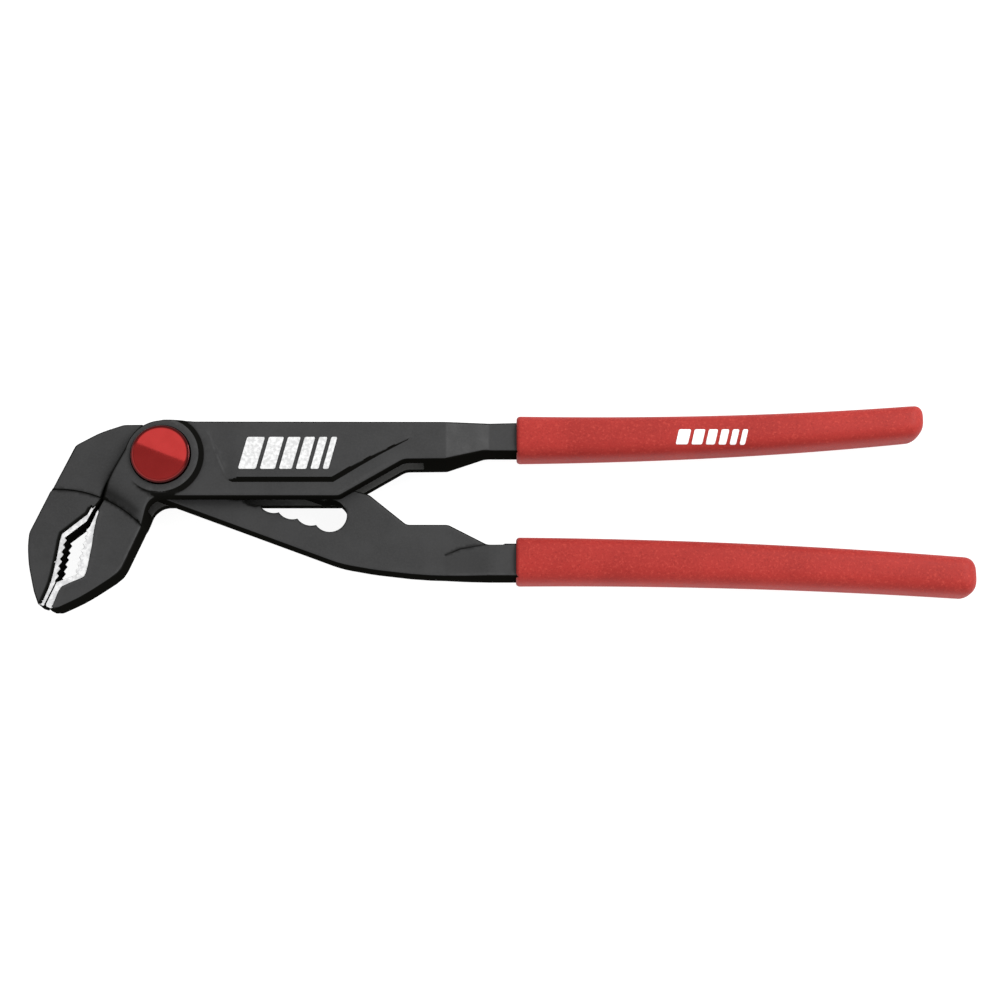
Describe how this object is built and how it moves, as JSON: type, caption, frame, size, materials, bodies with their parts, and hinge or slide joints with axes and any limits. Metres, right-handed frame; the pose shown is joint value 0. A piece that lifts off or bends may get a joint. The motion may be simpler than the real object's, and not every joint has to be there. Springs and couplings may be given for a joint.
{
  "type": "tongue and groove pliers",
  "caption": "Push-button water pump pliers with a through-slotted box joint, offset toothed jaws and sleeved handles.",
  "frame": {"origin": "centre of the bounding box, at the flat rear cheek that the pliers lie on", "axes": "+X towards the handle ends, +Y from the lower handle to the upper one, +Z out of the button side"},
  "size_m": [0.2474, 0.055, 0.0164],
  "materials": {
    "blackened_steel": "satin black phosphate, ground bright at the jaws",
    "pin_steel": "turned steel",
    "spring_steel": "drawn wire",
    "button_red": "gloss",
    "grip_red": "fine-grained matt vinyl"
  },
  "bodies": {
    "outer": {"outer_half": "blackened_steel", "upper_grip_sleeve": "grip_red"},
    "carrier": {"guide_bush": "pin_steel", "return_spring": "spring_steel"},
    "inner": {"inner_half": "blackened_steel", "lower_grip_sleeve": "grip_red"},
    "button": {"push_button": "button_red", "joint_pin": "pin_steel", "retaining_washer": "pin_steel"}
  },
  "joints": [
    {"name": "jaw_swing", "type": "hinge", "parent": "outer", "child": "carrier", "pos_m": [-0.0893, 0.01267, 0.0072], "axis": [0, 0, -1], "range_deg": [0, 35]},
    {"name": "jaw_adjust", "type": "slide", "parent": "carrier", "child": "inner", "axis": [-0.9455, 0.3256, 0], "range_m": [0, 0.0312]},
    {"name": "button_press", "type": "slide", "parent": "carrier", "child": "button", "axis": [0, 0, -1], "range_m": [0, 0.0024], "stiffness_N_per_m": 800, "springref_m": -0.003, "deforming": ["return_spring"]}
  ]
}
